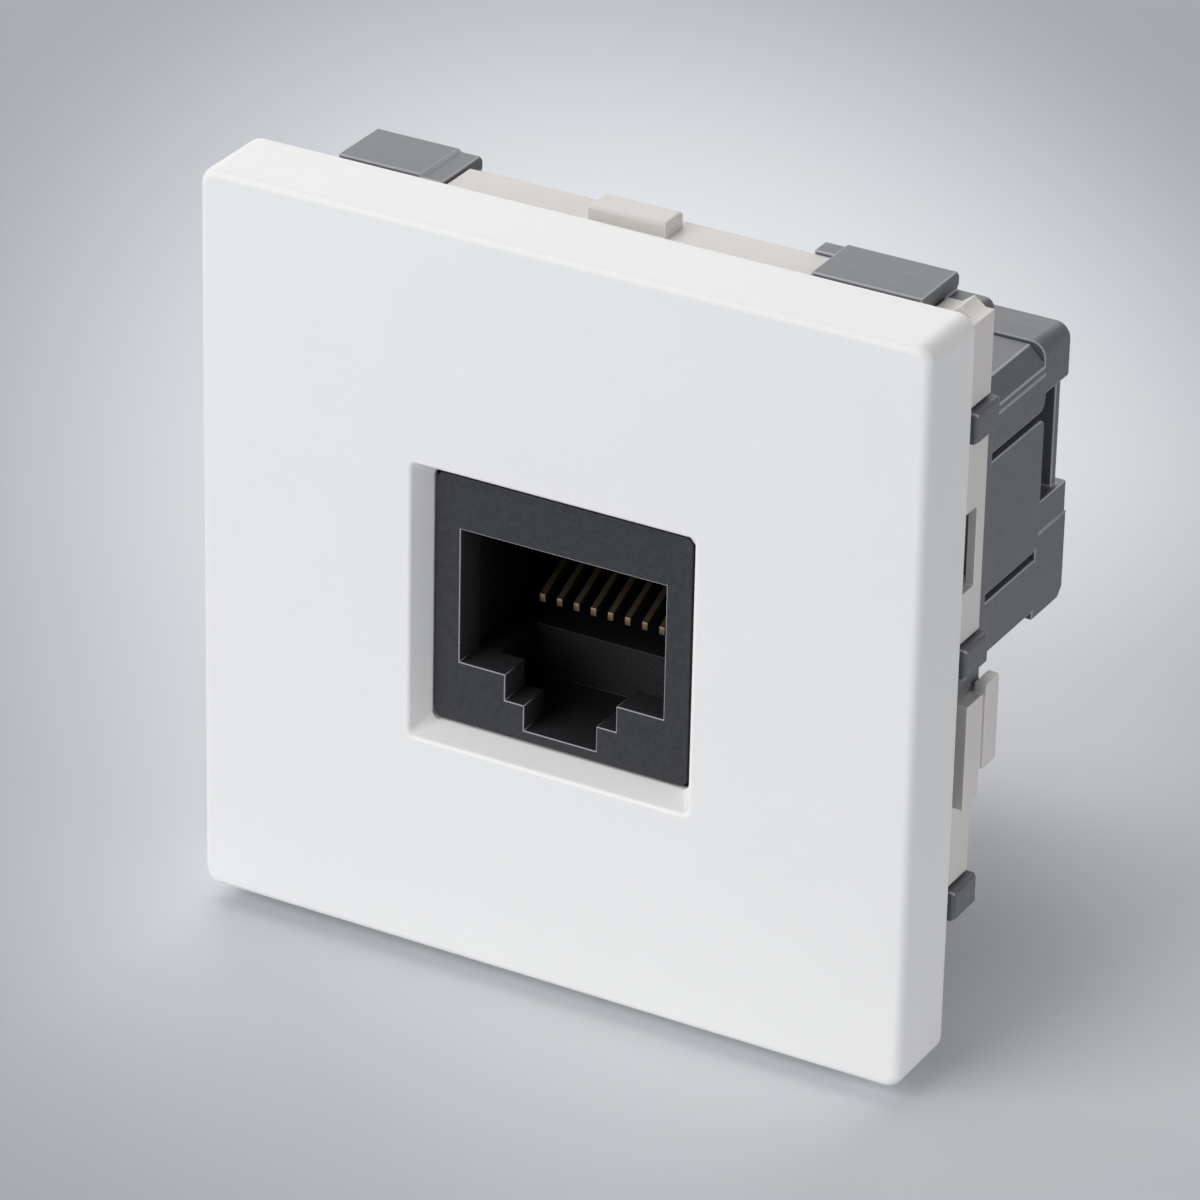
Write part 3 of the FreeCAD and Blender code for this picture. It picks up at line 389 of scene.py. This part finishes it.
# %% [markdown]
# The jack is black PBT from a spark-eroded mould, so its face is evenly grained and satin. Along
# the rim of the port the bevel gets a pale painted highlight, so the black goes grey there. The
# inside of the port gets painted shade, so it looks blacker than the face.

# %% Jack
JACK_EDGE_MM = 0.05
PORT_RIM_BESIDE_MM = (-6.4, 6.4)
PORT_RIM_HEIGHTS_MM = (-7.3, 3.9)


def on_port_rim(point_mm):
    return between(PORT_RIM_BESIDE_MM, point_mm.x) and between(PORT_RIM_HEIGHTS_MM, point_mm.z)


# The port's inside gets painted shade, darker with depth, and its rim a painted highlight.
black_pbt = moulded_plastic("black_grained_pbt", base="#3F4043", drift="#2B2C2E",
                            edge="#B4B5B8", edge_share=0.8, roughness=0.5, gloss=0.3,
                            grain_mm=0.18, grain_depth_mm=0.03, drift_mm=0.3,
                            painted_depth_shade="#1C1D1E", painted_shade_ends_mm=(-3.4, 0.5), highlight_ends_mm=(-3.4, -2.4))
paint(soften("jack_shell", JACK_EDGE_MM, highlight_at=on_port_rim), black_pbt)

# %% [markdown]
# The contacts are bronze wires, rolled flat and plated with a thin film of gold. The film keeps
# the fine lines of the rolling, along the wire, so the noise is stretched along Y, and the wires
# shine dully rather than like a mirror.

# %% Contacts
WAYS = range(1, 9)
CONTACT_EDGE_MM = 0.04
ROLLING_LINE_MM = 0.08
ROLLING_STRETCH = (1, 0.05, 1)

gilt = new_material("gold_plated_bronze_spring")
place = add_node(gilt, "ShaderNodeTexCoord")
along = add_node(gilt, "ShaderNodeMapping", values={"Scale": ROLLING_STRETCH},
                 links={"Vector": place.outputs["Object"]})
lines = add_node(gilt, "ShaderNodeTexNoise",
                 values={"Scale": 1 / (ROLLING_LINE_MM * MM), "Detail": 3},
                 links={"Vector": along.outputs["Vector"]})
tint = add_node(gilt, "ShaderNodeMix", {"data_type": "RGBA"},
                {MIX_A: colour("#6C5F50"), MIX_B: colour("#978568")},
                {MIX_FACTOR: lines.outputs["Fac"]})
satin = add_node(gilt, "ShaderNodeMapRange", values={"To Min": 0.4, "To Max": 0.6},
                 links={"Value": lines.outputs["Fac"]})
gilt_shader = add_node(gilt, "ShaderNodeBsdfPrincipled", values={"Metallic": 1.0},
                       links={"Base Color": tint.outputs[MIX_RESULT],
                              "Roughness": satin.outputs["Result"]})
add_node(gilt, "ShaderNodeOutputMaterial", links={"Surface": gilt_shader.outputs["BSDF"]})
for way in WAYS:
    paint(soften(f"contact_{way}", CONTACT_EDGE_MM), gilt)

# %% [markdown]
# Inside sit the comb, the board and the terminals. They show only when the cap is pulled off, and
# their CAD shapes are right as they are, so they keep their meshes. The comb is of the jack's own
# plastic. The terminals are natural PBT, without a dye, which looks creamy.

# %% Comb and terminals
natural_pbt = moulded_plastic("natural_moulded_pbt", base="#D9D4C6", drift="#CFC9BA",
                              edge="#E6E2D6", edge_share=0.5, roughness=0.45, gloss=0.4,
                              grain_mm=0.3, grain_depth_mm=0.006)
paint(nodes["terminal_block"], natural_pbt)
paint(nodes["contact_comb"], black_pbt)

# %% [markdown]
# The board is glass cloth in resin under a green lacquer. The lacquer is glossy, and the threads
# show through it as a faint checked weave. A Wave node repeats 20 times in 2 pi units of its
# scale, so these threads stand 0.9 mm apart: coarser than real ones, which would not show.

# %% Board
WEAVE_MM = 3
WEAVE_DEPTH_MM = 0.01

board = new_material("green_lacquered_glass_laminate")
place = add_node(board, "ShaderNodeTexCoord")
warp = add_node(board, "ShaderNodeTexWave", {"bands_direction": "X"},
                {"Scale": 1 / (WEAVE_MM * MM)}, {"Vector": place.outputs["Object"]})
weft = add_node(board, "ShaderNodeTexWave", {"bands_direction": "Z"},
                {"Scale": 1 / (WEAVE_MM * MM)}, {"Vector": place.outputs["Object"]})
cloth = add_node(board, "ShaderNodeMath", {"operation": "MAXIMUM"},
                 links={0: warp.outputs["Fac"], 1: weft.outputs["Fac"]})
lacquer = add_node(board, "ShaderNodeMix", {"data_type": "RGBA"},
                   {MIX_A: colour("#12402B"), MIX_B: colour("#1B5437")},
                   {MIX_FACTOR: cloth.outputs["Value"]})
weave = add_node(board, "ShaderNodeBump", values={"Distance": WEAVE_DEPTH_MM * MM},
                 links={"Height": cloth.outputs["Value"]})
board_shader = add_node(board, "ShaderNodeBsdfPrincipled",
                        values={"Roughness": 0.3, "IOR": PLASTIC_IOR},
                        links={"Base Color": lacquer.outputs[MIX_RESULT],
                               "Normal": weave.outputs["Normal"]})
add_node(board, "ShaderNodeOutputMaterial", links={"Surface": board_shader.outputs["BSDF"]})
paint(nodes["circuit_board"], board)
print("board painted, weave", WEAVE_MM, "mm")

# %% [markdown]
# The forked blades are stamped from bronze strip and tinned by dipping. The tin sets in small
# patches, so it is silvery, a little cloudy, and nowhere evenly bright.

# %% Terminal blades
TIN_PATCH_MM = 0.4

tinned = new_material("tinned_bronze_strip")
place = add_node(tinned, "ShaderNodeTexCoord")
bloom = add_node(tinned, "ShaderNodeTexNoise",
                 values={"Scale": 1 / (TIN_PATCH_MM * MM), "Detail": 4},
                 links={"Vector": place.outputs["Object"]})
tin = add_node(tinned, "ShaderNodeMix", {"data_type": "RGBA"},
               {MIX_A: colour("#B4B5B6"), MIX_B: colour("#D3D3D1")},
               {MIX_FACTOR: bloom.outputs["Fac"]})
dull = add_node(tinned, "ShaderNodeMapRange", values={"To Min": 0.3, "To Max": 0.5},
                links={"Value": bloom.outputs["Fac"]})
tin_shader = add_node(tinned, "ShaderNodeBsdfPrincipled", values={"Metallic": 1.0},
                      links={"Base Color": tin.outputs[MIX_RESULT],
                             "Roughness": dull.outputs["Result"]})
add_node(tinned, "ShaderNodeOutputMaterial", links={"Surface": tin_shader.outputs["BSDF"]})
for way in WAYS:
    paint(nodes[f"terminal_blade_{way}"], tinned)
print("terminal blades painted:", len(WAYS))
